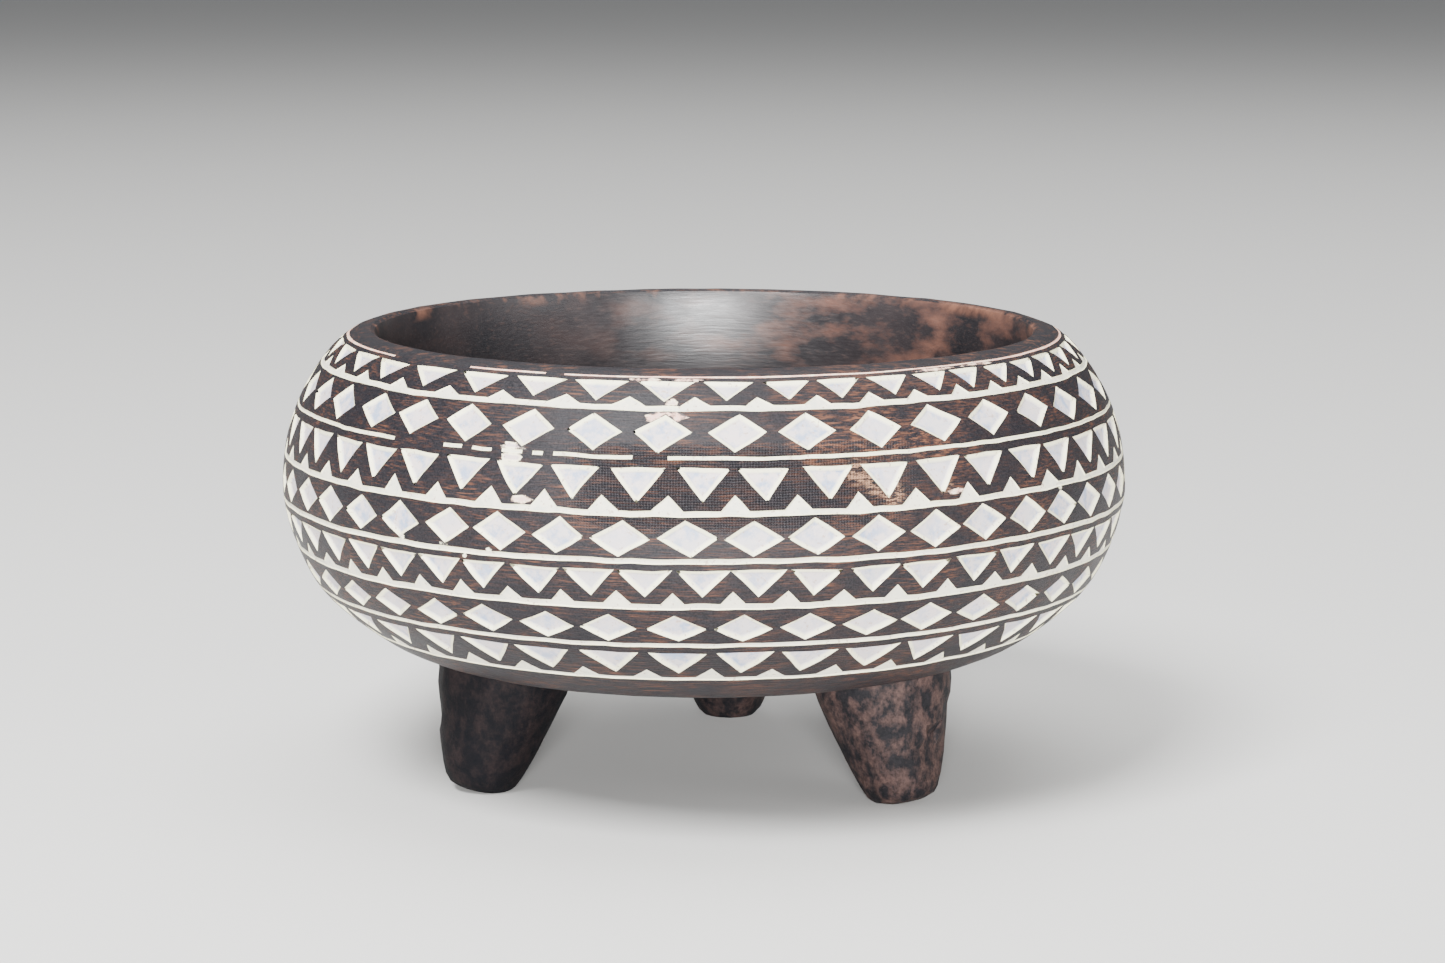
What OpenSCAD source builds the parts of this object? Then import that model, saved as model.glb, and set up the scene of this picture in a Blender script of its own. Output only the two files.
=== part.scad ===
// Round wooden bowl standing on three stubby legs. Its outside is cut with rows of
// triangles and diamonds between rings, and the cuts are filled with pale paste.
// z = 0 is the ground, the z axis runs up the middle and the front faces -y.

/* [Body] */
// Outer radius at the widest ring
bowl_radius = 90; // [70:1:110]
// Height of the bowl from its flat underside to the top of the rim
bowl_height = 67.2; // [60:0.2:76]
// Thickness of the wall at the belly, measured level
belly_wall = 20.2; // [16:0.1:22]
// Thickness of the floor
floor_thickness = 10; // [8:0.5:12]

/* [Legs] */
// Height of the underside above the ground
leg_height = 29; // [24:0.5:34]
// Radius of a leg where it meets the ground
foot_radius = 7.4; // [6:0.1:9]
// Radius of a leg where it meets the underside
leg_top_radius = 15; // [12:0.5:16]
// Distance of each foot from the middle
foot_distance = 51.9; // [48:0.1:54]
// Distance of each leg top from the middle
leg_top_distance = 45.3; // [42:0.1:48]
// Turn of the tripod away from straight behind
tripod_turn = -6.5; // [-20:0.5:20]
// Radius of the round tenon on top of each leg
tenon_radius = 6; // [4:0.5:8]
// Height of the tenon
tenon_height = 5; // [3:0.5:6]

/* [Rows] */
// Triangles in the row under the rim
rim_triangle_count = 43; // [36:1:46]
// Diamonds in the shoulder row
shoulder_diamond_count = 39; // [34:1:42]
// Triangles in the shoulder row
shoulder_triangle_count = 47; // [40:1:50]
// Diamonds in the belly row
belly_diamond_count = 47; // [40:1:50]
// Triangles in the belly row
belly_triangle_count = 50; // [40:1:52]
// Diamonds in the lower row
lower_diamond_count = 42; // [34:1:46]
// Triangles in the row above the base
base_triangle_count = 40; // [32:1:44]

/* [Cuts] */
// Depth of the triangles, diamonds and rings
cut_depth = 1.2; // [0.8:0.1:1.6]
// How far the paste lies below the wood
paste_drop = 0.4; // [0.3:0.1:0.6]
// Depth of the thin ring round the rim
rim_ring_depth = 0.7; // [0.6:0.1:1]
// Width of the thin ring round the rim
rim_ring_width = 0.6; // [0.5:0.1:1]
// Width of the rings that carry points
toothed_ring_width = 1.2; // [0.8:0.1:1.6]
// Width of the plain rings
plain_ring_width = 1; // [0.7:0.1:1.4]
// Width of a point as a share of the spacing
tooth_width_share = 0.45; // [0.35:0.01:0.5]
// Height of a point above its ring as a share of the row
tooth_height_share = 0.33; // [0.25:0.01:0.36]

/* [Hidden] */
$fn = 180;

wood_colour = [0.16, 0.09, 0.06];
leg_colour = [0.24, 0.15, 0.11];
paste_colour = [0.90, 0.88, 0.80];

// Rings of the outside from the rim down, as shares of bowl_radius and bowl_height
ring_radius_share = [0.841, 0.902, 0.960, 0.994, 1.000, 0.974, 0.930, 0.833];
ring_height_share = [0.982, 0.903, 0.774, 0.621, 0.484, 0.347, 0.223, 0.097];
rim_radius = 0.771 * bowl_radius;
base_radius = 0.70 * bowl_radius;
rim_height = leg_height + bowl_height;
floor_height = leg_height + floor_thickness;

// Ring names as places in the lists above
RIM = 0;
RIM_TOOTHED = 1;
SHOULDER = 2;
SHOULDER_TOOTHED = 3;
BELLY = 4;
BELLY_TOOTHED = 5;
LOWER = 6;
BASE_TOOTHED = 7;

// Each row: ring above it, number of shapes, turn of the first one, uneven spacing,
// turn of the uneven spacing, width share of the spacing, share of the row left clear
// above the shapes, share left clear below them
RIM_TRIANGLES = [RIM, rim_triangle_count, 6.9, 5.0, 80, 0.88, 0.20, 0.22];
SHOULDER_DIAMONDS = [RIM_TOOTHED, shoulder_diamond_count, 4.7, 0.75, 300, 0.84, 0.12, 0.11];
SHOULDER_TRIANGLES = [SHOULDER, shoulder_triangle_count, 7.3, 1.0, 0, 0.88, 0.19, 0.19];
BELLY_DIAMONDS = [SHOULDER_TOOTHED, belly_diamond_count, 5.7, 1.25, 0, 0.92, 0.12, 0.10];
BELLY_TRIANGLES = [BELLY, belly_triangle_count, 0.7, 1.0, 270, 0.95, 0.19, 0.21];
LOWER_DIAMONDS = [BELLY_TOOTHED, lower_diamond_count, 5.0, 0.25, 280, 0.90, 0.19, 0.11];
BASE_TRIANGLES = [LOWER, base_triangle_count, 5.0, 1.0, 10, 0.89, 0.18, 0.21];

paste_thickness = cut_depth - paste_drop;
rim_paste_drop = 0.3;
over = 2;           // how far a cutting tool stands out of the wood
glue_gap = 0.05;    // between a tenon and its socket
leg_lean = atan((foot_distance - leg_top_distance) / leg_height);

function ring_radius(k) = bowl_radius * ring_radius_share[k];
function ring_height(k) = leg_height + bowl_height * ring_height_share[k];

// The straight band of wall below ring k
function band_drop(k) = ring_height(k) - ring_height(k + 1);
function band_spread(k) = ring_radius(k + 1) - ring_radius(k);
function band_length(k) = norm([band_drop(k), band_spread(k)]);
function band_tilt(k) = atan(band_spread(k) / band_drop(k));

// Upward tilt of the cut at ring k, halfway between its two bands
function ring_tilt(k) =
    k == RIM ? band_tilt(RIM) + 10 :
    k == BASE_TOOTHED ? band_tilt(LOWER) - 10 :
    (band_tilt(k - 1) + band_tilt(k)) / 2;

// Direction of shape i of a row, measured round from the front
function shape_turn(row, i) =
    let (even = row[2] + 360 * i / row[1])
    even + row[3] * sin(2 * even + row[4]);

// Direction halfway between shape i and the next one
function gap_turn(row, i) = (shape_turn(row, i) + shape_turn(row, i + 1)) / 2;

// Width of the space that shape i of a row has to itself, at radius r
function shape_space(row, i, r) =
    r * PI / 180 * (shape_turn(row, i + 1) - shape_turn(row, i - 1)) / 2;

// Puts flat work on band k: x runs round, y up the wall from its middle, z outward
module on_band(k, turn) {
    radius = (ring_radius(k) + ring_radius(k + 1)) / 2;
    height = (ring_height(k) + ring_height(k + 1)) / 2;
    rotate([0, 0, turn])
    translate([0, -radius, height])
    rotate([90 - band_tilt(k), 0, 0])
    children();
}

module down_triangle(width, top, tip) {
    polygon([[-width / 2, top], [width / 2, top], [0, tip]]);
}

module diamond(width, top, bottom) {
    middle = (top + bottom) / 2;
    polygon([[0, top], [width / 2, middle], [0, bottom], [-width / 2, middle]]);
}

module up_triangle(width, height) {
    polygon([[-width / 2, 0], [width / 2, 0], [0, height]]);
}

// Slabs between two heights above the floor of the cut, one for each shape of a row
module triangle_slabs(row, thickness) {
    k = row[0];
    half = band_length(k) / 2;
    for (i = [0 : row[1] - 1])
        on_band(k, shape_turn(row, i))
        translate([0, 0, -cut_depth])
        linear_extrude(thickness)
        down_triangle(
            row[5] * shape_space(row, i, ring_radius(k)),
            half - row[6] * 2 * half,
            -half + row[7] * 2 * half);
}

module diamond_slabs(row, thickness) {
    k = row[0];
    half = band_length(k) / 2;
    middle_radius = (ring_radius(k) + ring_radius(k + 1)) / 2;
    for (i = [0 : row[1] - 1])
        on_band(k, shape_turn(row, i))
        translate([0, 0, -cut_depth])
        linear_extrude(thickness)
        diamond(
            row[5] * shape_space(row, i, middle_radius),
            half - row[6] * 2 * half,
            -half + row[7] * 2 * half);
}

// Points that stand on the ring below a row of triangles, between their tips
module tooth_slabs(row, thickness) {
    k = row[0];
    half = band_length(k) / 2;
    for (i = [0 : row[1] - 1])
        on_band(k, gap_turn(row, i))
        translate([0, -half, -cut_depth])
        linear_extrude(thickness)
        up_triangle(
            tooth_width_share * shape_space(row, i, ring_radius(k + 1)),
            tooth_height_share * 2 * half);
}

// A ring of square section at ring k
module ring_slab(k, width, depth, thickness) {
    rotate_extrude()
    translate([ring_radius(k), ring_height(k)])
    rotate([0, 0, ring_tilt(k)])
    translate([-depth, -width / 2])
    square([thickness, width]);
}

module body_blank() {
    rotate_extrude()
    polygon(concat(
        [[0, leg_height], [base_radius, leg_height]],
        [for (k = [BASE_TOOTHED : -1 : RIM]) [ring_radius(k), ring_height(k)]],
        [[rim_radius + 1, rim_height], [rim_radius, rim_height - 0.7]],
        hollow_profile()));
}

// Inside of the bowl from the rim down to the middle of the floor
function hollow_profile() =
    let (
        deep = rim_height - floor_height,
        wide = bowl_radius - belly_wall
    ) [
        [rim_radius - 0.3, floor_height + 0.892 * deep],
        [rim_radius - 0.6, floor_height + 0.77 * deep],
        [rim_radius - 0.4, floor_height + 0.65 * deep],
        [wide - 0.2, floor_height + 0.525 * deep],
        [wide, floor_height + 0.41 * deep],
        [wide - 1.4, floor_height + 0.29 * deep],
        [wide - 5.6, floor_height + 0.18 * deep],
        [wide - 13.3, floor_height + 0.10 * deep],
        [wide - 24.3, floor_height + 0.045 * deep],
        [wide - 39.8, floor_height + 0.014 * deep],
        [0, floor_height]
    ];

module place_leg(turn) {
    rotate([0, 0, turn])
    children();
}

module leg_socket(turn) {
    place_leg(turn)
    translate([0, -leg_top_distance, leg_height - 1])
    cylinder(r = tenon_radius + glue_gap, h = tenon_height + 1.2);
}

// A leg that leans out towards its foot, cut level at both ends, with its tenon
module leg(turn) {
    place_leg(turn) {
        intersection() {
            translate([0, -foot_distance, 0])
            rotate([-leg_lean, 0, 0])
            rotate_extrude()
            polygon([
                [0, -6],
                [foot_radius - 1.6, -6],
                [foot_radius - 1.6, -1.6],
                [foot_radius + 0.1, 0.4],
                [foot_radius + 1.7, 5],
                [foot_radius + 3.5, 11],
                [leg_top_radius - 2.6, 17],
                [leg_top_radius - 0.6, 24],
                [leg_top_radius, leg_height],
                [leg_top_radius + 0.6, leg_height + 9],
                [0, leg_height + 9]
            ]);
            translate([-60, -100, 0])
            cube([120, 100, leg_height]);
        }
        translate([0, -leg_top_distance, leg_height - 1])
        cylinder(r = tenon_radius, h = tenon_height + 1);
    }
}

module bowl_body() {
    color(wood_colour)
    difference() {
        body_blank();
        ring_slab(RIM, rim_ring_width, rim_ring_depth, rim_ring_depth + over);
        triangle_slabs(RIM_TRIANGLES, cut_depth + over);
        tooth_slabs(RIM_TRIANGLES, cut_depth + over);
        ring_slab(RIM_TOOTHED, toothed_ring_width, cut_depth, cut_depth + over);
        diamond_slabs(SHOULDER_DIAMONDS, cut_depth + over);
        ring_slab(SHOULDER, plain_ring_width, cut_depth, cut_depth + over);
        triangle_slabs(SHOULDER_TRIANGLES, cut_depth + over);
        tooth_slabs(SHOULDER_TRIANGLES, cut_depth + over);
        ring_slab(SHOULDER_TOOTHED, toothed_ring_width, cut_depth, cut_depth + over);
        diamond_slabs(BELLY_DIAMONDS, cut_depth + over);
        ring_slab(BELLY, plain_ring_width, cut_depth, cut_depth + over);
        triangle_slabs(BELLY_TRIANGLES, cut_depth + over);
        tooth_slabs(BELLY_TRIANGLES, cut_depth + over);
        ring_slab(BELLY_TOOTHED, toothed_ring_width, cut_depth, cut_depth + over);
        diamond_slabs(LOWER_DIAMONDS, cut_depth + over);
        ring_slab(LOWER, plain_ring_width, cut_depth, cut_depth + over);
        triangle_slabs(BASE_TRIANGLES, cut_depth + over);
        tooth_slabs(BASE_TRIANGLES, cut_depth + over);
        ring_slab(BASE_TOOTHED, toothed_ring_width, cut_depth, cut_depth + over);
        leg_socket(60 + tripod_turn);
        leg_socket(-60 + tripod_turn);
        leg_socket(180 + tripod_turn);
    }
}

module left_leg() { color(leg_colour) leg(-60 + tripod_turn); }
module right_leg() { color(leg_colour) leg(60 + tripod_turn); }
module back_leg() { color(leg_colour) leg(180 + tripod_turn); }

module rim_line() {
    color(paste_colour) ring_slab(RIM, rim_ring_width, rim_ring_depth, rim_ring_depth - rim_paste_drop);
}
module rim_triangles() {
    color(paste_colour) triangle_slabs(RIM_TRIANGLES, paste_thickness);
}
module rim_toothed_line() {
    color(paste_colour) {
        ring_slab(RIM_TOOTHED, toothed_ring_width, cut_depth, paste_thickness);
        tooth_slabs(RIM_TRIANGLES, paste_thickness);
    }
}
module shoulder_diamonds() {
    color(paste_colour) diamond_slabs(SHOULDER_DIAMONDS, paste_thickness);
}
module shoulder_line() {
    color(paste_colour) ring_slab(SHOULDER, plain_ring_width, cut_depth, paste_thickness);
}
module shoulder_triangles() {
    color(paste_colour) triangle_slabs(SHOULDER_TRIANGLES, paste_thickness);
}
module shoulder_toothed_line() {
    color(paste_colour) {
        ring_slab(SHOULDER_TOOTHED, toothed_ring_width, cut_depth, paste_thickness);
        tooth_slabs(SHOULDER_TRIANGLES, paste_thickness);
    }
}
module belly_diamonds() {
    color(paste_colour) diamond_slabs(BELLY_DIAMONDS, paste_thickness);
}
module belly_line() {
    color(paste_colour) ring_slab(BELLY, plain_ring_width, cut_depth, paste_thickness);
}
module belly_triangles() {
    color(paste_colour) triangle_slabs(BELLY_TRIANGLES, paste_thickness);
}
module belly_toothed_line() {
    color(paste_colour) {
        ring_slab(BELLY_TOOTHED, toothed_ring_width, cut_depth, paste_thickness);
        tooth_slabs(BELLY_TRIANGLES, paste_thickness);
    }
}
module lower_diamonds() {
    color(paste_colour) diamond_slabs(LOWER_DIAMONDS, paste_thickness);
}
module lower_line() {
    color(paste_colour) ring_slab(LOWER, plain_ring_width, cut_depth, paste_thickness);
}
module base_triangles() {
    color(paste_colour) triangle_slabs(BASE_TRIANGLES, paste_thickness);
}
module base_toothed_line() {
    color(paste_colour) {
        ring_slab(BASE_TOOTHED, toothed_ring_width, cut_depth, paste_thickness);
        tooth_slabs(BASE_TRIANGLES, paste_thickness);
    }
}

bowl_body();
left_leg();
right_leg();
back_leg();
rim_line();
rim_triangles();
rim_toothed_line();
shoulder_diamonds();
shoulder_line();
shoulder_triangles();
shoulder_toothed_line();
belly_diamonds();
belly_line();
belly_triangles();
belly_toothed_line();
lower_diamonds();
lower_line();
base_triangles();
base_toothed_line();
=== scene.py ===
import math
import random

import bmesh
import bpy
from mathutils import Matrix, Vector, noise


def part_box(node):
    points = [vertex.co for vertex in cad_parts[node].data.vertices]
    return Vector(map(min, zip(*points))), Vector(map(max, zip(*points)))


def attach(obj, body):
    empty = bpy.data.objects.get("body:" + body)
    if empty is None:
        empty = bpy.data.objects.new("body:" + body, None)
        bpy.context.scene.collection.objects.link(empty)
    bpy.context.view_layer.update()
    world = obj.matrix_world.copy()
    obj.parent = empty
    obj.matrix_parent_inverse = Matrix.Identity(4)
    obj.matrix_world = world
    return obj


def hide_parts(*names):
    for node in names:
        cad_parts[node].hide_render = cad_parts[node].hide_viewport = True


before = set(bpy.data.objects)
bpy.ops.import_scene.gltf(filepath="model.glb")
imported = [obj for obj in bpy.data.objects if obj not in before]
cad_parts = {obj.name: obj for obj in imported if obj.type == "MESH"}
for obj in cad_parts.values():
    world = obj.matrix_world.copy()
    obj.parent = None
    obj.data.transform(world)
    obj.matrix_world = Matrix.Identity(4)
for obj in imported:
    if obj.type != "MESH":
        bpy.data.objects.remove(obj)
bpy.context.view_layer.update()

# All lengths are in metres and all turns in degrees, measured round from the front,
# which faces -y. A turn to the right of the front is positive.
MM = 0.001
BODY_LOW, BODY_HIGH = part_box("bowl_body")
WIDEST = BODY_HIGH.x - 0.35 * MM
RIM_TOP = BODY_HIGH.z - 0.05 * MM
UNDERSIDE = BODY_LOW.z
DEEP = RIM_TOP - UNDERSIDE
COLUMNS = 240
BINS = 120
BIN_WIDTH = 360 // BINS
ROW_STEP = 2.2 * MM
CUT_DEPTH = 1.15 * MM
RIM_CUT_DEPTH = 0.65 * MM
PASTE_UNDER_WOOD = 0.03 * MM
SLOPE_WIDTH = 1.0 * MM
SLOPE_DEPTH = 0.65 * MM
# How far the floor of a ring, of the rim line and of a smear runs in and down
RING_DISH = (0.26 * MM, 0.22 * MM)
RIM_DISH = (0.15 * MM, 0.08 * MM)
SMEAR_DISH = (0.6 * MM, 0.05 * MM)
CORNER_REACH = 2.6 * MM
# Wood within this radius and above this height belongs to the hollow
HOLLOW_RADIUS = 70.2 * MM
HOLLOW_LOW = 5 * MM
SAME_PLACE = 1e-6
RUBBED_BROWN = (0.17, 0.075, 0.048)
SEED = 7
rng = random.Random(SEED)
noise.seed_set(SEED)

# The inside of the bowl, from the middle of the floor up to the lip: radius and height
# in millimetres above the ground
HOLLOW = [
    (0, 39.0), (15, 39.15), (30.0, 39.8), (45.5, 41.6), (56.5, 44.7), (64.2, 49.3),
    (68.4, 55.6), (69.8, 62.5), (69.4, 69.0), (68.7, 76.2), (68.6, 83.0),
    (69.0, 90.0), (69.4, 94.2), (69.8, 95.5), (70.7, 96.05), (73.2, 95.75),
]
# The rings of the wall from the rim down, as shares of the widest radius and of the
# height of the bowl
RING_SHARES = [
    (0.841, 0.982), (0.902, 0.903), (0.960, 0.774), (0.994, 0.621),
    (0.9995, 0.484), (0.974, 0.347), (0.930, 0.223), (0.833, 0.097),
]
# From the lowest ring round the edge of the base to the middle of the underside
BASE = [(69.6, 32.0), (65.2, 29.9), (63.0, 29.15), (60.5, 29.02), (40, 29.0), (20, 29.0), (0, 29.0)]

RIM, RIM_TOOTHED, SHOULDER, SHOULDER_TOOTHED, BELLY, BELLY_TOOTHED, LOWER, BASE_TOOTHED = range(8)
RING_NODES = [
    "rim_line", "rim_toothed_line", "shoulder_line", "shoulder_toothed_line",
    "belly_line", "belly_toothed_line", "lower_line", "base_toothed_line",
]
RING_WIDTHS = [0.6, 1.2, 0.75, 1.1, 1.05, 1.3, 1.1, 1.4]

# Rows of shapes: node, ring above, count, turn of the first, uneven spacing, turn of the
# uneven spacing, width share of the spacing, share left clear above, share left below
TRIANGLE_ROWS = [
    ("rim_triangles", RIM, 43, 6.9, 5.0, 80, 0.88, 0.19, 0.21),
    ("shoulder_triangles", SHOULDER, 47, 7.3, 1.0, 0, 0.88, 0.19, 0.19),
    ("belly_triangles", BELLY, 50, 0.7, 1.0, 270, 0.95, 0.19, 0.21),
    ("base_triangles", LOWER, 40, 5.0, 1.0, 10, 0.89, 0.18, 0.21),
]
DIAMOND_ROWS = [
    ("shoulder_diamonds", RIM_TOOTHED, 39, 4.7, 0.75, 300, 0.84, 0.12, 0.11),
    ("belly_diamonds", SHOULDER_TOOTHED, 47, 5.7, 1.25, 0, 0.92, 0.12, 0.10),
    ("lower_diamonds", BELLY_TOOTHED, 42, 5.0, 0.25, 280, 0.90, 0.19, 0.11),
]
TOOTH_WIDTH = 0.46
TOOTH_HEIGHT = 0.34

# Where the thin rings are worn away: ring and the turns between which no cut is left
WORN_AWAY = [
    (RIM, -56, -37), (RIM, -24, -20.5), (SHOULDER, -44.6, -36.3), (SHOULDER, -32.7, -31.5),
    (SHOULDER, -28.0, -27.0), (SHOULDER, -24.0, -22.5), (SHOULDER, -21.0, -19.5),
    (SHOULDER, -9.0, -4.3), (SHOULDER, 96, 104), (RIM, 118, 131), (RIM, 168, 176),
    (SHOULDER, 171, 183), (SHOULDER, -137, -131), (RIM, -121, -112),
]
# Paste smeared over the wood: node, ring above, turn and share of the band at its middle,
# half its width in degrees, half its height as a share of the band, how pink it is
SMEARS = [
    ("shoulder_diamonds", RIM_TOOTHED, -4.9, 0.13, 2.0, 0.18, 1.0),
    ("rim_triangles", RIM, -4.5, 0.86, 0.6, 0.13, 0.8),
    ("rim_triangles", RIM, -8.5, 0.12, 1.7, 0.08, 1.0),
    ("rim_triangles", RIM, -2.5, 0.12, 2.2, 0.07, 1.0),
    ("rim_triangles", RIM, 36.0, 0.10, 3.4, 0.06, 1.0),
    ("rim_triangles", RIM, 45.0, 0.09, 2.8, 0.05, 1.0),
    ("shoulder_diamonds", RIM_TOOTHED, -25.5, 0.92, 1.4, 0.11, 0.4),
    ("shoulder_triangles", SHOULDER, -25.6, 0.10, 1.3, 0.12, 0.4),
    ("shoulder_triangles", SHOULDER, -23.2, 0.86, 1.1, 0.07, 0.9),
    ("shoulder_triangles", SHOULDER, 33.4, 0.80, 1.2, 0.06, 1.0),
    ("belly_diamonds", SHOULDER_TOOTHED, -41.5, 0.91, 0.5, 0.06, 0.0),
    ("belly_diamonds", SHOULDER_TOOTHED, -34.4, 0.90, 0.5, 0.06, 0.0),
    ("belly_diamonds", SHOULDER_TOOTHED, -27.6, 0.92, 0.4, 0.05, 0.0),
    ("belly_diamonds", SHOULDER_TOOTHED, 52.6, 0.08, 0.4, 0.06, 0.0),
    ("belly_triangles", BELLY, -31.2, 0.10, 0.3, 0.06, 0.0),
]
# Places on the shoulder where the stain is scraped off, and how far each one reaches
SCUFFS = [
    ((29.5 * MM, -82.8 * MM, 77.8 * MM), 3.2 * MM), ((33 * MM, -81.6 * MM, 75.4 * MM), 3.4 * MM),
    ((36 * MM, -80.8 * MM, 73.0 * MM), 3.2 * MM), ((46 * MM, -74 * MM, 73.5 * MM), 2.4 * MM),
]
# Places where slanted strokes of a file have laid the brown wood bare
STROKES = [
    ((21 * MM, -82 * MM, 84.5 * MM), 7 * MM), ((33 * MM, -78 * MM, 85 * MM), 8 * MM),
    ((43 * MM, -74 * MM, 83 * MM), 6 * MM),
]
SHAPE_NODES = [row[0] for row in TRIANGLE_ROWS + DIAMOND_ROWS]
TAGS = {name: i + 1 for i, name in enumerate(RING_NODES + SHAPE_NODES)}


def smooth_curve(points, t):
    """Point at place t along a smooth curve through the given points."""
    i = min(max(int(t), 0), len(points) - 2)
    before = points[max(i - 1, 0)]
    here, there = points[i], points[i + 1]
    after = points[min(i + 2, len(points) - 1)]
    span = (there - here).length
    into = max((here - before).length, 1e-9)
    out = max((after - there).length, 1e-9)
    start = (there - here) / span
    end = start
    if i > 0:
        start = (here - before) / into - (there - before) / (into + span) + start
    if i + 2 < len(points):
        end = (there - here) / span - (after - here) / (span + out) + (after - there) / out
    s = t - i
    return (
        here * (2 * s**3 - 3 * s**2 + 1) + start * span * (s**3 - 2 * s**2 + s)
        + there * (3 * s**2 - 2 * s**3) + end * span * (s**3 - s**2)
    )


def profile_points():
    hollow = [Vector((r * MM, z * MM)) for r, z in HOLLOW]
    rings = [Vector((WIDEST * r, UNDERSIDE + DEEP * z)) for r, z in RING_SHARES]
    base = [Vector((r * MM, z * MM)) for r, z in BASE]
    return hollow + rings + base


PROFILE = profile_points()
FIRST_RING = len(HOLLOW)


def wall_place(turn, t):
    """Point on the outside at a turn and a place along the profile."""
    flat = smooth_curve(PROFILE, t)
    a = math.radians(turn)
    return Vector((flat.x * math.sin(a), -flat.x * math.cos(a), flat.y))


def wall_outward(turn, t):
    along = smooth_curve(PROFILE, t + 0.01) - smooth_curve(PROFILE, t - 0.01)
    a = math.radians(turn)
    out = Vector((-along.y * math.sin(a), along.y * math.cos(a), along.x))
    return out.normalized()


def turn_of(point):
    return math.degrees(math.atan2(point.x, -point.y))


def groove_reach(ring):
    """Half the width of a ring as shares of the spans above and below it."""
    i = FIRST_RING + ring
    above = (PROFILE[i] - PROFILE[i - 1]).length
    below = (PROFILE[i + 1] - PROFILE[i]).length
    half = RING_WIDTHS[ring] * MM / 2
    return half / above, half / below


def profile_stations():
    """Places along the profile where the wall has an edge, with a tag for each strip."""
    places, tags = [0.0], []
    ends = {}
    for ring in range(8):
        above, below = groove_reach(ring)
        ends[FIRST_RING + ring] = (ring, above, below)
    for i in range(len(PROFILE) - 1):
        low = i + (ends[i][2] if i in ends else 0)
        high = i + 1 - (ends[i + 1][1] if i + 1 in ends else 0)
        if i in ends:
            places.append(low)
            tags.append(TAGS[RING_NODES[ends[i][0]]])
        length = (PROFILE[i + 1] - PROFILE[i]).length
        pieces = max(1, round(length / (ROW_STEP if i >= FIRST_RING - 2 else 2 * ROW_STEP)))
        band = -(ends[i][0] + 1) if i in ends and i + 1 in ends else 0
        for n in range(1, pieces + 1):
            places.append(low + (high - low) * n / pieces)
            tags.append(band)
    return places, tags


def place_key(place):
    """One number for a place, so that elements can be put in order."""
    return place.x * 1.0 + place.y * 3.7193 + place.z * 13.1377


def settled(bm):
    """A copy with its corners, edges and faces in order of place, the same on each run."""
    made = bm.copy()
    bm.free()
    made.verts.sort(key=lambda v: place_key(v.co))
    made.edges.sort(key=lambda e: place_key(e.verts[0].co + e.verts[1].co))
    made.faces.sort(key=lambda f: place_key(f.calc_center_median()))
    return made


def blank_skin():
    """The whole outside and inside of the bowl as one closed surface."""
    bm = bmesh.new()
    station = bm.verts.layers.int.new("station")
    places, tags = profile_stations()
    verts = []
    for i, place in enumerate(places):
        flat = smooth_curve(PROFILE, place)
        r = 0 if i in (0, len(places) - 1) else flat.x
        v = bm.verts.new((0, r, flat.y))
        v[station] = i
        verts.append(v)
    edges = [bm.edges.new(pair) for pair in zip(verts, verts[1:])]
    bmesh.ops.spin(
        bm, geom=verts + edges, cent=(0, 0, 0), axis=(0, 0, 1), dvec=(0, 0, 0),
        angle=math.tau, steps=COLUMNS, use_merge=True)
    bmesh.ops.remove_doubles(bm, verts=bm.verts, dist=SAME_PLACE)
    bmesh.ops.recalc_face_normals(bm, faces=bm.faces)
    tag = bm.faces.layers.int.new("tag")
    bm.faces.layers.int.new("extra")
    bm.faces.layers.float.new("pink")
    for f in bm.faces:
        f[tag] = tags[min(v[station] for v in f.verts)]
    return settled(bm)


def bin_of(face):
    return int(turn_of(face.calc_center_median()) // BIN_WIDTH) % BINS


def bins_of_band(bm, band):
    """Faces of one band in bins by turn. Dicts keep them in a fixed order, which sets do not."""
    tag = bm.faces.layers.int["tag"]
    bins = [{} for _ in range(BINS)]
    for f in bm.faces:
        if f[tag] == -(band + 1):
            bins[bin_of(f)][f] = True
    return bins


def cut_outline(bm, bins, turn, reach, sides, outward):
    """Cuts the wood near a turn along the given sides and returns the faces within them."""
    near = range(int((turn - reach) // BIN_WIDTH), int((turn + reach) // BIN_WIDTH) + 1)
    touched = {}
    for n in near:
        touched.update(bins[n % BINS])
        bins[n % BINS] = {}
    inside = list(touched)
    for a, b in sides:
        out = (b - a).cross(outward).normalized()
        edges = dict.fromkeys(e for f in inside for e in f.edges)
        verts = dict.fromkeys(v for f in inside for v in f.verts)
        result = bmesh.ops.bisect_plane(
            bm, geom=inside + list(edges) + list(verts), dist=2e-6, plane_co=a, plane_no=out)
        faces = [g for g in result["geom"] if isinstance(g, bmesh.types.BMFace)]
        touched.update(dict.fromkeys(faces, True))
        inside = [f for f in faces if (f.calc_center_median() - a).dot(out) < 0]
    chosen = set(inside)
    for f in touched:
        if f not in chosen:
            bins[bin_of(f)][f] = True
    return inside


def shape_turn(row, i):
    even = row[3] + 360 * i / row[2]
    return even + row[4] * math.sin(math.radians(2 * even + row[5]))


def shape_space(row, i):
    return (shape_turn(row, i + 1) - shape_turn(row, i - 1)) / 2


def cut_row(bm, bins, row, corners_of):
    """Cuts one row of shapes, each a little different as a knife leaves them."""
    tag = bm.faces.layers.int["tag"]
    top = FIRST_RING + row[1]
    for i in range(row[2]):
        turn = shape_turn(row, i) + rng.uniform(-0.25, 0.25)
        width = row[6] * shape_space(row, i) * rng.uniform(0.95, 1.04)
        corners = corners_of(row, width)
        outward = wall_outward(turn, top + 0.5)
        points = [wall_place(turn + dx, top + s) for dx, s in corners]
        sides = list(zip(points, points[1:] + points[:1]))
        for f in cut_outline(bm, bins, turn, width / 2 + BIN_WIDTH, sides, outward):
            f[tag] = TAGS[row[0]]


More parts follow.
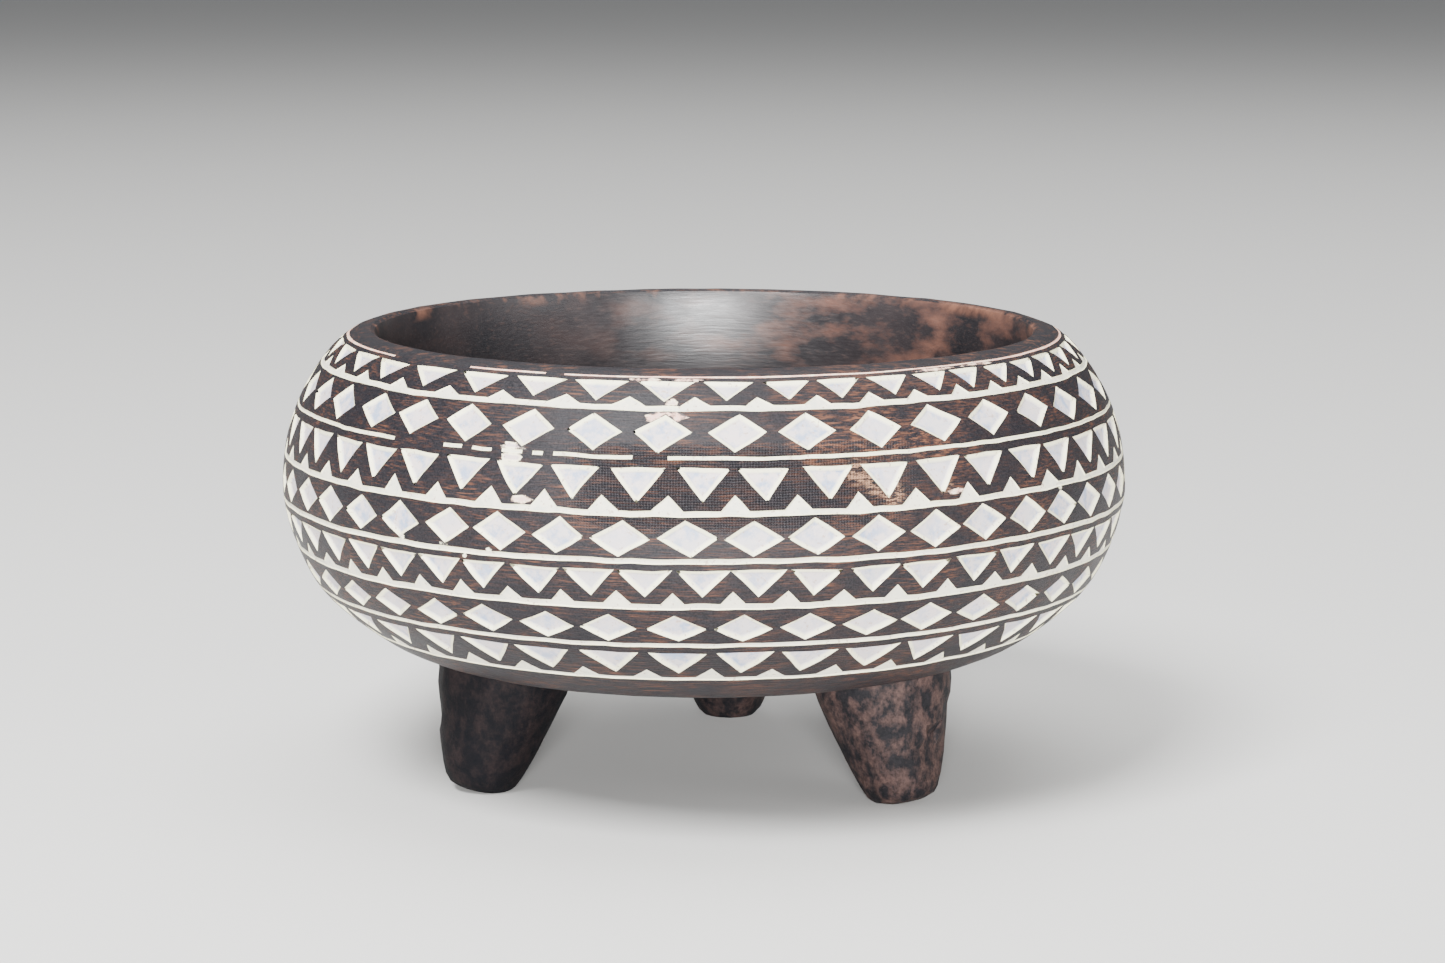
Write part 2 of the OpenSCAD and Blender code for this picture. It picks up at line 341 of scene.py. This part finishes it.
def triangle_corners(row, width):
    high = row[7] + rng.uniform(-0.012, 0.012)
    low = 1 - row[8] + rng.uniform(-0.02, 0.02)
    lean = rng.uniform(-0.05, 0.05) * width
    slope = rng.uniform(-0.014, 0.014)
    return [(lean, low), (width / 2, high + slope), (-width / 2, high - slope)]


def diamond_corners(row, width):
    high = row[7] + rng.uniform(-0.015, 0.02)
    low = 1 - row[8] + rng.uniform(-0.02, 0.015)
    middle = (high + low) / 2 + rng.uniform(-0.025, 0.025)
    lean = rng.uniform(-0.05, 0.05) * width
    return [(lean, low), (width / 2, middle), (-lean, high), (-width / 2, middle)]


def cut_teeth(bm, bins, row):
    """Points that stand on the ring under a row of triangles."""
    tag = bm.faces.layers.int["tag"]
    extra = bm.faces.layers.int["extra"]
    top = FIRST_RING + row[1]
    ring = row[1] + 1
    for i in range(row[2]):
        turn = (shape_turn(row, i) + shape_turn(row, i + 1)) / 2 + rng.uniform(-0.25, 0.25)
        half = TOOTH_WIDTH * shape_space(row, i) * rng.uniform(0.9, 1.1) / 2
        tip_turn = turn + rng.uniform(-0.2, 0.2)
        tip = wall_place(tip_turn, top + 1 - TOOTH_HEIGHT * rng.uniform(0.92, 1.08))
        foot = top + 1 - groove_reach(ring)[0]
        left = wall_place(turn - half, foot)
        right = wall_place(turn + half, foot)
        sides = [(right, tip), (tip, left)]
        for f in cut_outline(bm, bins, turn, half + BIN_WIDTH, sides, wall_outward(turn, top + 0.8)):
            f[tag] = TAGS[RING_NODES[ring]]
            f[extra] = 1


def cut_smear(bm, bins, smear):
    """A patch of paste left on the wood, made of a few overlapping ragged pieces."""
    tag = bm.faces.layers.int["tag"]
    extra = bm.faces.layers.int["extra"]
    pink = bm.faces.layers.float["pink"]
    node, ring, middle, share, half, high, tint = smear
    top = FIRST_RING + ring
    for _ in range(3):
        turn = middle + rng.uniform(-0.3, 0.3) * half
        centre = share + rng.uniform(-0.3, 0.3) * high
        points = []
        for n in range(5):
            a = -math.tau * (n + rng.uniform(-0.4, 0.4)) / 5
            place = min(max(centre + high * math.sin(a), 0.01), 0.99)
            points.append(wall_place(turn + 1.25 * half * math.cos(a), top + place))
        sides = list(zip(points, points[1:] + points[:1]))
        for f in cut_outline(bm, bins, turn, half + BIN_WIDTH, sides, wall_outward(turn, top + centre)):
            if f[tag] <= 0:
                f[tag] = TAGS[node]
                f[extra] = 2
                f[pink] = tint


def leave_worn_rings(bm):
    tag = bm.faces.layers.int["tag"]
    for ring, start, end in WORN_AWAY:
        for f in bm.faces:
            if f[tag] == TAGS[RING_NODES[ring]] and start < turn_of(f.calc_center_median()) < end:
                f[tag] = 0


def shake_by_hand(bm):
    """Makes every line a little uneven and the wood gently hollowed by the tool."""
    bm.normal_update()
    moves = []
    for v in bm.verts:
        n = v.normal.copy()
        slow = noise.noise_vector(v.co * 28)
        quick = noise.noise_vector(v.co * 210 + Vector((3, 7, 1)))
        drift = (slow * 0.45 + quick * 0.24) * MM
        drift -= n * drift.dot(n)
        outside = v.co.z > UNDERSIDE + 2 * MM and n.z < 0.9 and n.dot(v.co) > 0
        if v.co.z > RIM_TOP - 6 * MM:
            drift *= 0.4
        dent = abs(noise.noise(v.co * 75)) * 0.22 * MM
        moves.append((v, (drift if outside else Vector()) - n * dent))
    for v, move in moves:
        v.co += move


def carved_skin():
    bm = blank_skin()
    for band in range(7):
        bins = bins_of_band(bm, band)
        for row in TRIANGLE_ROWS:
            if row[1] == band:
                cut_row(bm, bins, row, triangle_corners)
                cut_teeth(bm, bins, row)
        for row in DIAMOND_ROWS:
            if row[1] == band:
                cut_row(bm, bins, row, diamond_corners)
        for smear in SMEARS:
            if smear[1] == band:
                cut_smear(bm, bins, smear)
    leave_worn_rings(bm)
    bmesh.ops.dissolve_degenerate(bm, dist=0.05 * MM, edges=bm.edges)
    bm = settled(bm)
    shake_by_hand(bm)
    return bm


def finish_mesh(bm, name, sharp_angle):
    bmesh.ops.triangulate(bm, faces=[f for f in bm.faces if len(f.verts) > 4])
    for f in bm.faces:
        f.smooth = True
    bm.normal_update()
    mesh = bpy.data.meshes.new(name)
    bm.to_mesh(mesh)
    bm.free()
    mesh.set_sharp_from_angle(angle=math.radians(sharp_angle))
    piece = bpy.data.objects.new(name, mesh)
    bpy.context.scene.collection.objects.link(piece)
    return piece


def wooden_bowl(skin):
    """The bowl with every cut sunk into its wall."""
    bm = skin.copy()
    tag = bm.faces.layers.int["tag"]
    rim_cut = [f for f in bm.faces if f[tag] == TAGS["rim_line"]]
    other_cuts = [f for f in bm.faces if f[tag] > 0 and f[tag] != TAGS["rim_line"]]
    for faces, depth in ((rim_cut, RIM_CUT_DEPTH), (other_cuts, CUT_DEPTH)):
        bmesh.ops.inset_region(
            bm, faces=faces, thickness=0.08 * MM, depth=-depth, use_boundary=True,
            use_even_offset=False)
    for f in bm.faces:
        middle = f.calc_center_median()
        if math.hypot(middle.x, middle.y) < HOLLOW_RADIUS and middle.z > UNDERSIDE + HOLLOW_LOW:
            f.material_index = 1
    return finish_mesh(bm, "carved_bowl", 35)


def keep_homes(bm):
    """Notes where every corner is and which way is out of the wood there."""
    home = bm.verts.layers.float_vector.new("home")
    out = bm.verts.layers.float_vector.new("out")
    for v in bm.verts:
        v[home] = v.co
        v[out] = v.normal


def hold_back(bm, reach):
    """Puts right any corner that ran too far along the wood or out of it."""
    home = bm.verts.layers.float_vector["home"]
    out = bm.verts.layers.float_vector["out"]
    for v in bm.verts:
        move = v.co - v[home]
        lift = move.dot(v[out])
        along = move - v[out] * lift
        if along.length > reach:
            along *= reach / along.length
        v.co = v[home] + along + v[out] * min(lift, 0)


def join_shapes(bm, whole):
    """Makes one face of each shape, tooth and smear. A ring keeps its faces."""
    extra = bm.faces.layers.int["extra"]
    for kind in (0, 1, 2):
        group = [f for f in bm.faces if f[extra] == kind]
        if group and (whole or kind > 0):
            bmesh.ops.dissolve_faces(bm, faces=group, use_verts=False)
    bm.normal_update()
    for v in bm.verts:
        v.co -= v.normal * PASTE_UNDER_WOOD


def mark_corners(bm, name):
    """Notes for the paste's colour: its edge, how pink it is and where it is only a film."""
    extra = bm.faces.layers.int["extra"]
    pink = bm.faces.layers.float["pink"]
    edge = bm.verts.layers.float.new("edge")
    blush = bm.verts.layers.float.new("blush")
    thin = bm.verts.layers.float.new("thin")
    for v in bm.verts:
        v[edge] = 1
        v[blush] = 1 if name == "rim_line" else max(f[pink] for f in v.link_faces)
        v[thin] = 1 if v.link_faces[0][extra] == 2 else 0


def sink_floors(bm, top, name):
    """Slopes the paste down from its edge to a sunken floor."""
    extra = bm.faces.layers.int["extra"]
    if name not in SHAPE_NODES:
        inwards, down = RIM_DISH if name == "rim_line" else RING_DISH
        bmesh.ops.inset_region(
            bm, faces=top, thickness=inwards, depth=-down, use_boundary=True,
            use_even_offset=True)
        return
    broad = [f for f in top if f[extra] == 0]
    thin = [f for f in top if f[extra] == 2]
    for faces, (inwards, down) in ((broad, (SLOPE_WIDTH, SLOPE_DEPTH)), (thin, SMEAR_DISH)):
        bmesh.ops.inset_individual(
            bm, faces=faces, thickness=inwards, depth=-down, use_even_offset=True)


def paste_piece(skin, name):
    """Pale paste in the cuts of one row or ring, flush at its edge and sunken inside."""
    bm = skin.copy()
    tag = bm.faces.layers.int["tag"]
    extra = bm.faces.layers.int["extra"]
    others = [f for f in bm.faces if f[tag] != TAGS[name]]
    bmesh.ops.delete(bm, geom=others, context="FACES")
    bmesh.ops.split(bm, geom=[f for f in bm.faces if f[extra] == 2])
    whole = name in SHAPE_NODES
    join_shapes(bm, whole)
    mark_corners(bm, name)
    keep_homes(bm)
    top = list(bm.faces)
    depth = (RIM_CUT_DEPTH if name == "rim_line" else CUT_DEPTH) - 2 * PASTE_UNDER_WOOD
    bmesh.ops.solidify(bm, geom=top, thickness=depth)
    sink_floors(bm, top, name)
    hold_back(bm, CORNER_REACH)
    edge = bm.verts.layers.float["edge"]
    # The floor takes the greyer colour, which is partly painted shade; a ring's floor keeps some of the
    # cream slope colour.
    for f in top:
        for v in f.verts:
            v[edge] = 0 if whole else 0.3
    return finish_mesh(bm, "paste_" + name, 20)


# ---- materials ----

def add(tree, kind, **values):
    """Adds a shader node. Values name its settings or its input sockets."""
    made = tree.nodes.new(kind)
    for key, value in values.items():
        if hasattr(made, key):
            setattr(made, key, value)
        else:
            made.inputs[key.replace("_", " ")].default_value = value
    return made


def new_material(name):
    material = bpy.data.materials.new(name)
    material.use_nodes = True
    tree = material.node_tree
    return material, tree, tree.nodes["Principled BSDF"]


def noise_value(tree, source, scale, detail=4.0, stretch=(1, 1, 1), turn=(0, 0, 0), rough=0.55):
    place = add(tree, "ShaderNodeMapping")
    place.inputs["Scale"].default_value = stretch
    place.inputs["Rotation"].default_value = [math.radians(a) for a in turn]
    tree.links.new(source, place.inputs["Vector"])
    cloud = add(tree, "ShaderNodeTexNoise", Scale=scale, Detail=detail, Roughness=rough)
    tree.links.new(place.outputs["Vector"], cloud.inputs["Vector"])
    return cloud.outputs["Fac"]


def ramp(tree, value, low, high, start=0.0, end=1.0):
    """Spreads a value between low and high over the range start to end."""
    made = add(tree, "ShaderNodeMapRange")
    made.inputs["From Min"].default_value = low
    made.inputs["From Max"].default_value = high
    made.inputs["To Min"].default_value = start
    made.inputs["To Max"].default_value = end
    tree.links.new(value, made.inputs["Value"])
    return made.outputs["Result"]


def mixed(tree, amount, one, other):
    """Mixes two colours, each given as a colour or as a socket."""
    made = add(tree, "ShaderNodeMix", data_type="RGBA")
    tree.links.new(amount, made.inputs["Factor"])
    for socket, colour in (("A", one), ("B", other)):
        target = [s for s in made.inputs if s.name == socket and s.type == "RGBA"][0]
        if isinstance(colour, tuple):
            target.default_value = (*colour, 1)
        else:
            tree.links.new(colour, target)
    return [s for s in made.outputs if s.type == "RGBA"][0]


def maths(tree, operation, one, other):
    made = add(tree, "ShaderNodeMath", operation=operation)
    for socket, value in zip(made.inputs, (one, other)):
        if isinstance(value, (int, float)):
            socket.default_value = value
        else:
            tree.links.new(value, socket)
    return made.outputs["Value"]


def bumped(tree, shader, height, strength, distance):
    bump = add(tree, "ShaderNodeBump", Strength=strength, Distance=distance)
    tree.links.new(height, bump.inputs["Height"])
    tree.links.new(bump.outputs["Normal"], shader.inputs["Normal"])


def radius_of(tree, x, y):
    squares = maths(tree, "ADD", maths(tree, "POWER", x, 2.0), maths(tree, "POWER", y, 2.0))
    return maths(tree, "SQRT", squares, 0.0)


def spots(tree, source, places):
    """One near any of the places and nothing further off than their reach."""
    total = 0.0
    for place, reach in places:
        gap = add(tree, "ShaderNodeVectorMath", operation="DISTANCE")
        tree.links.new(source, gap.inputs[0])
        gap.inputs[1].default_value = place
        total = maths(tree, "MAXIMUM", ramp(tree, gap.outputs["Value"], reach, 0.5 * reach), total)
    return total


def rubbed_edge(tree, source, z, radius):
    """Where the stain is rubbed off the inner edge of the lip."""
    high = ramp(tree, z, RIM_TOP - 3.2 * MM, RIM_TOP - 0.8 * MM)
    inner = ramp(tree, radius, 71.0 * MM, 70.0 * MM)
    rubbed = ramp(tree, noise_value(tree, source, 120, 5), 0.50, 0.66)
    return maths(tree, "MULTIPLY", maths(tree, "MULTIPLY", high, inner), rubbed)


def bowl_wood():
    """Nearly black stained wood with fine rust-brown streaks."""
    material, tree, shader = new_material("stained_dark_wood")
    source = add(tree, "ShaderNodeTexCoord").outputs["Object"]
    parts = add(tree, "ShaderNodeSeparateXYZ")
    tree.links.new(source, parts.inputs["Vector"])
    x, y, z = (parts.outputs[axis] for axis in "XYZ")

    level = noise_value(tree, source, 3300, 5, (0.06, 0.15, 1), (0, 3, 0), 0.65)
    slanted = noise_value(tree, source, 2600, 5, (0.09, 0.3, 1), (0, -32, 0), 0.65)
    scrapes = noise_value(tree, source, 1900, 4, (0.22, 0.22, 1), (0, 38, 0), 0.75)
    cloud = noise_value(tree, source, 95, 5, rough=0.62)
    soft = noise_value(tree, source, 38, 2)
    grit = noise_value(tree, source, 2600, 3)
    right = maths(
        tree, "MULTIPLY", ramp(tree, x, -10 * MM, 35 * MM), ramp(tree, y, -45 * MM, -62 * MM))
    slant_share = maths(tree, "MULTIPLY", right, ramp(tree, soft, 0.38, 0.52))
    streaks = ramp(tree, level, 0.50, 0.68)
    marks = ramp(tree, slanted, 0.50, 0.66)
    lines = maths(tree, "MAXIMUM", streaks, maths(tree, "MULTIPLY", marks, slant_share))
    streaked = maths(tree, "MULTIPLY", lines, ramp(tree, cloud, 0.40, 0.62, 0.10, 1.0))
    base = mixed(tree, ramp(tree, grit, 0.35, 0.65), (0.004, 0.004, 0.006), (0.017, 0.015, 0.018))
    coloured = mixed(tree, streaked, base, (0.118, 0.047, 0.026))
    stroked = maths(
        tree, "MULTIPLY", ramp(tree, slanted, 0.50, 0.60), spots(tree, source, STROKES))
    coloured = mixed(tree, stroked, coloured, (0.150, 0.062, 0.034))
    scuffed = maths(
        tree, "MULTIPLY", ramp(tree, scrapes, 0.49, 0.54), spots(tree, source, SCUFFS))
    coloured = mixed(tree, scuffed, coloured, (0.29, 0.16, 0.095))
    wear_and_shade = rubbed_edge(tree, source, z, radius_of(tree, x, y))
    coloured = mixed(tree, wear_and_shade, coloured, RUBBED_BROWN)
    tree.links.new(coloured, shader.inputs["Base Color"])
    tree.links.new(ramp(tree, cloud, 0.3, 0.7, 0.40, 0.54), shader.inputs["Roughness"])
    shader.inputs["Specular IOR Level"].default_value = 0.23
    fibres = maths(tree, "ADD", level, slanted)
    height = maths(tree, "ADD", fibres, crossed_scratches(tree, source, x, y, z))
    bumped(tree, shader, height, 0.8, 0.14 * MM)
    return material


def hollow_wood():
    """Smoother, oiled wood inside the bowl, with the stain patchy below the lip."""
    material, tree, shader = new_material("oiled_hollow_wood")
    source = add(tree, "ShaderNodeTexCoord").outputs["Object"]
    parts = add(tree, "ShaderNodeSeparateXYZ")
    tree.links.new(source, parts.inputs["Vector"])
    x, y, z = (parts.outputs[axis] for axis in "XYZ")
    soft = noise_value(tree, source, 45, 3)
    grain = noise_value(tree, source, 1500, 4, (0.08, 0.6, 1), rough=0.6)
    patches = ramp(tree, noise_value(tree, source, 88, 5, (0.8, 0.8, 1.8)), 0.48, 0.74)
    near_lip = maths(
        tree, "MULTIPLY", ramp(tree, z, 62 * MM, 86 * MM),
        ramp(tree, x, -28 * MM, 12 * MM, 0.08, 1))
    stained = maths(tree, "MULTIPLY", patches, near_lip)
    coloured = mixed(tree, ramp(tree, soft, 0.35, 0.65), (0.006, 0.006, 0.008), (0.021, 0.016, 0.017))
    coloured = mixed(tree, stained, coloured, (0.140, 0.064, 0.045))
    threads = ramp(tree, grain, 0.55, 0.70, 0.0, 0.4)
    coloured = mixed(tree, threads, coloured, (0.050, 0.028, 0.023))
    wear_and_shade = rubbed_edge(tree, source, z, radius_of(tree, x, y))
    coloured = mixed(tree, wear_and_shade, coloured, RUBBED_BROWN)
    tree.links.new(coloured, shader.inputs["Base Color"])
    tree.links.new(ramp(tree, grain, 0.3, 0.7, 0.33, 0.47), shader.inputs["Roughness"])
    shader.inputs["Specular IOR Level"].default_value = 0.55
    shader.inputs["Coat Weight"].default_value = 0.25
    shader.inputs["Coat Roughness"].default_value = 0.36
    gouges = noise_value(tree, source, 170, 2, (0.5, 1, 1))
    bumped(tree, shader, maths(tree, "ADD", grain, gouges), 0.5, 0.16 * MM)
    return material


def crossed_scratches(tree, source, x, y, z):
    """Fine crossed file marks on the front of the shoulder."""
    lines = []
    for axis, scale in (("Z", 640), ("X", 560)):
        wave = add(
            tree, "ShaderNodeTexWave", bands_direction=axis, Scale=scale, Distortion=1.6,
            Detail=1.0)
        tree.links.new(source, wave.inputs["Vector"])
        lines.append(wave.outputs["Fac"])
    dots = maths(tree, "MULTIPLY", *lines)
    aside = maths(tree, "ABSOLUTE", maths(tree, "SUBTRACT", x, 8 * MM), 0.0)
    beside = ramp(tree, aside, 36 * MM, 24 * MM, 0.0, 3.4)
    band = maths(
        tree, "MULTIPLY", ramp(tree, z, 66 * MM, 70 * MM), ramp(tree, z, 84 * MM, 81 * MM))
    front = maths(tree, "MULTIPLY", maths(tree, "LESS_THAN", y, 0.0), beside)
    return maths(tree, "MULTIPLY", dots, maths(tree, "MULTIPLY", front, band))


def leg_wood(name, wear_and_shade):
    """Rough matt wood, dark, with pinkish-brown patches where the stain is rubbed off. The same share
    also paints shade: a leg given a low share is darker all over.
    """
    material, tree, shader = new_material(name)
    source = add(tree, "ShaderNodeTexCoord").outputs["Object"]
    blotch = noise_value(tree, source, 290, 6, (1.1, 1.1, 0.75), rough=0.68)
    fine = noise_value(tree, source, 1100, 5, rough=0.7)
    patches = maths(tree, "MULTIPLY", ramp(tree, blotch, 0.44, 0.60), wear_and_shade)
    # A low share also paints shade: it makes the leg's base darker and less glossy, with fewer pink
    # patches.
    grey = 0.004 + 0.009 * wear_and_shade
    base = mixed(
        tree, ramp(tree, fine, 0.35, 0.7), (0.002, 0.0025, 0.004), (grey, 0.85 * grey, grey))
    scuffed = mixed(tree, ramp(tree, fine, 0.3, 0.6), (0.022, 0.013, 0.012), (0.066, 0.039, 0.034))
    coloured = mixed(tree, patches, base, scuffed)
    tree.links.new(coloured, shader.inputs["Base Color"])
    shader.inputs["Roughness"].default_value = 0.66
    shader.inputs["Specular IOR Level"].default_value = 0.08 + 0.10 * wear_and_shade
    bumped(tree, shader, maths(tree, "ADD", blotch, fine), 0.6, 0.22 * MM)
    return material


def chalk_paste():
    """Chalky paste: cream on its slopes, greyer on its sunken floor, pink in places. The cream slopes
    are partly the paste's own tint and partly a painted highlight; the greyer floor is partly painted
    shade.
    """
    material, tree, shader = new_material("chalky_paste")
    source = add(tree, "ShaderNodeTexCoord").outputs["Object"]
    edge = add(tree, "ShaderNodeAttribute", attribute_name="edge").outputs["Fac"]
    blush = add(tree, "ShaderNodeAttribute", attribute_name="blush").outputs["Fac"]
    thin = add(tree, "ShaderNodeAttribute", attribute_name="thin").outputs["Fac"]
    cloud = noise_value(tree, source, 420, 6, rough=0.7)
    drift = noise_value(tree, source, 120, 3)
    region = noise_value(tree, source, 42, 2)
    floor = mixed(tree, ramp(tree, drift, 0.38, 0.62), (0.62, 0.54, 0.535), (0.56, 0.52, 0.535))
    mottle = maths(
        tree, "MULTIPLY", ramp(tree, cloud, 0.46, 0.60), ramp(tree, region, 0.42, 0.54, 0.3, 1.0))
    floor = mixed(tree, mottle, floor, (0.29, 0.35, 0.50))
    # Cream on the slopes, greyer on the floor: partly the paste's own tint, partly a painted highlight
    # on the slopes and painted shade on the floor.
    cream = mixed(tree, ramp(tree, cloud, 0.4, 0.6), (0.93, 0.90, 0.66), (0.88, 0.84, 0.58))
    coloured = mixed(tree, ramp(tree, edge, 0.02, 0.5), floor, cream)
    tint = maths(tree, "MULTIPLY", blush, ramp(tree, cloud, 0.38, 0.56, 0.35, 1.0))
    coloured = mixed(tree, tint, coloured, (0.76, 0.42, 0.32))
    fading = maths(tree, "ADD", cloud, maths(tree, "MULTIPLY", edge, 0.16))
    film = maths(tree, "MULTIPLY", thin, ramp(tree, fading, 0.55, 0.67))
    coloured = mixed(tree, film, coloured, (0.020, 0.016, 0.018))
    pits = ramp(tree, noise_value(tree, source, 1250, 2), 0.63, 0.69, 0.0, 0.75)
    coloured = mixed(tree, pits, coloured, (0.42, 0.30, 0.24))
    tree.links.new(coloured, shader.inputs["Base Color"])
    shader.inputs["Roughness"].default_value = 0.62
    bumped(tree, shader, noise_value(tree, source, 1100, 5), 0.45, 0.10 * MM)
    return material


# ---- legs ----

# Distance of a leg's middle from the axis at the ground and at the bowl, and its height
LEG_FOOT = 51.9
LEG_TOP = 45.3
LEG_RISE = 29.0
LEG_PROFILE = [
    (0, 0), (4.6, 0), (6.4, 0.7), (7.5, 2.0), (8.6, 4.5), (10.0, 8.5), (11.3, 13.0),
    (12.7, 18.0), (14.2, 23.5), (14.75, 28.0), (14.9, 31), (0, 31),
]


def rough_leg(seed):
    """A leg turned to its taper, then flattened here and there by the adze."""
    chooser = random.Random(seed)
    bm = bmesh.new()
    verts = [bm.verts.new((r * MM, 0, z * MM)) for r, z in LEG_PROFILE]
    edges = [bm.edges.new(pair) for pair in zip(verts, verts[1:])]
    bmesh.ops.spin(
        bm, geom=verts + edges, cent=(0, 0, 0), axis=(0, 0, 1), dvec=(0, 0, 0),
        angle=math.tau, steps=40, use_merge=True)
    bmesh.ops.remove_doubles(bm, verts=bm.verts, dist=SAME_PLACE)
    bmesh.ops.recalc_face_normals(bm, faces=bm.faces)
    bmesh.ops.subdivide_edges(bm, edges=bm.edges, cuts=1, use_grid_fill=True)
    flats = []
    for _ in range(16):
        a = chooser.uniform(0, math.tau)
        tilt = chooser.uniform(-0.40, -0.05)
        out = Vector((math.cos(a), math.sin(a), tilt)).normalized()
        z = chooser.uniform(2, 28)
        reach = 7.4 + 0.29 * z - chooser.uniform(0.1, 0.5)
        flats.append((out, Vector((math.cos(a) * reach * MM, math.sin(a) * reach * MM, z * MM))))
    for v in bm.verts:
        for out, place in flats:
            over = (v.co - place).dot(out)
            near = (v.co - place).length < 11 * MM
            if over > 0 and near:
                v.co -= out * over * 0.8
        if v.co.z > 0.2 * MM:
            v.co += noise.noise_vector(v.co * 300 + Vector((seed, 0, 0))) * 0.12 * MM
    return bm


def place_leg(bm, turn):
    """Leans a leg out and moves it under the bowl."""
    lean = math.atan2(LEG_FOOT - LEG_TOP, LEG_RISE)
    move = (
        Matrix.Rotation(math.radians(turn), 4, "Z")
        @ Matrix.Translation((0, -LEG_FOOT * MM, 0))
        @ Matrix.Rotation(-lean, 4, "X")
    )
    bmesh.ops.transform(bm, matrix=move, verts=bm.verts)


# Node, turn, seed for the adze marks, how much of the stain is rubbed off, also set lower on the legs
# in shade so that they are painted darker
LEGS = [
    ("left_leg", -66.5, 3, 0.15), ("right_leg", 53.5, 5, 1.0), ("back_leg", 173.5, 9, 0.6),
]


def finished_leg(name, turn, seed):
    bm = rough_leg(seed)
    place_leg(bm, turn)
    for height, out in ((0.0, -1), (UNDERSIDE + 0.4 * MM, 1)):
        geometry = list(bm.verts) + list(bm.edges) + list(bm.faces)
        result = bmesh.ops.bisect_plane(
            bm, geom=geometry, dist=1e-6, plane_co=(0, 0, height), plane_no=(0, 0, out),
            clear_outer=True)
        rim = [g for g in result["geom_cut"] if isinstance(g, bmesh.types.BMEdge)]
        if rim:
            bmesh.ops.holes_fill(bm, edges=rim, sides=0)
    bmesh.ops.recalc_face_normals(bm, faces=bm.faces)
    return finish_mesh(bm, "rough_" + name, 40)


# ---- floor, light and camera ----

def pale_floor():
    bm = bmesh.new()
    bmesh.ops.create_grid(bm, x_segments=4, y_segments=4, size=25)
    floor = finish_mesh(bm, "floor", 30)
    material, _, shader = new_material("pale_floor")
    shader.inputs["Base Color"].default_value = (0.66, 0.655, 0.64, 1)
    shader.inputs["Roughness"].default_value = 0.7
    floor.data.materials.append(material)


def soft_light(name, place, size, power, aim):
    data = bpy.data.lights.new(name, "AREA")
    data.shape = "RECTANGLE"
    data.size, data.size_y = size
    data.energy = power
    light = bpy.data.objects.new(name, data)
    light.location = place
    light.rotation_euler = (Vector(aim) - Vector(place)).to_track_quat("-Z", "Y").to_euler()
    bpy.context.scene.collection.objects.link(light)


def studio():
    world = bpy.data.worlds.new("studio")
    world.use_nodes = True
    world.node_tree.nodes["Background"].inputs["Color"].default_value = (0.95, 0.97, 1.0, 1)
    world.node_tree.nodes["Background"].inputs["Strength"].default_value = 0.26
    bpy.context.scene.world = world
    soft_light("front", (0.0, -2.40, 0.42), (0.58, 0.45), 152, (0, 0, 0.06))
    soft_light("key", (-0.40, -0.75, 1.05), (0.5, 0.5), 42, (0, 0, 0.05))
    soft_light("top", (0.1, 0.6, 2.2), (2.4, 2.4), 60, (0, 0.2, 0))
    soft_light("side", (1.2, -0.5, 0.55), (0.6, 0.6), 4, (0, 0, 0.05))


def camera():
    """Looks slightly down at the front from about three quarters of a metre."""
    data = bpy.data.cameras.new("camera")
    data.sensor_width = 36
    data.lens = 88.6
    data.clip_start, data.clip_end = 0.01, 60
    eye = bpy.data.objects.new("camera", data)
    ring_height = UNDERSIDE + DEEP * RING_SHARES[SHOULDER_TOOTHED][1]
    distance = 8.45 * 90 * MM
    tilt = math.radians(8.75)
    offset = Vector((0, -math.cos(tilt), math.sin(tilt))) * distance
    forward = -offset.normalized()
    right = Vector((1, 0, 0))
    up = right.cross(forward)
    aim = Matrix.Rotation(math.radians(-0.295), 3, up) @ Matrix.Rotation(math.radians(-0.63), 3, right)
    forward, up = aim @ forward, aim @ up
    right = forward.cross(up)
    eye.matrix_world = Matrix((right, up, -forward)).transposed().to_4x4()
    eye.location = Vector((0, 0, ring_height)) + offset
    bpy.context.scene.collection.objects.link(eye)
    bpy.context.scene.camera = eye


def declare(piece, node, material):
    piece.data.materials.append(material)
    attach(piece, "root")
    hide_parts(node)


def build():
    skin = carved_skin()
    bowl = wooden_bowl(skin)
    declare(bowl, "bowl_body", bowl_wood())
    bowl.data.materials.append(hollow_wood())
    paste = chalk_paste()
    for name in TAGS:
        declare(paste_piece(skin, name), name, paste)
    skin.free()
    for name, turn, seed, wear_and_shade in LEGS:
        wood = leg_wood(name + "_wood", wear_and_shade)
        declare(finished_leg(name, turn, seed), name, wood)


camera()
studio()
pale_floor()
build()
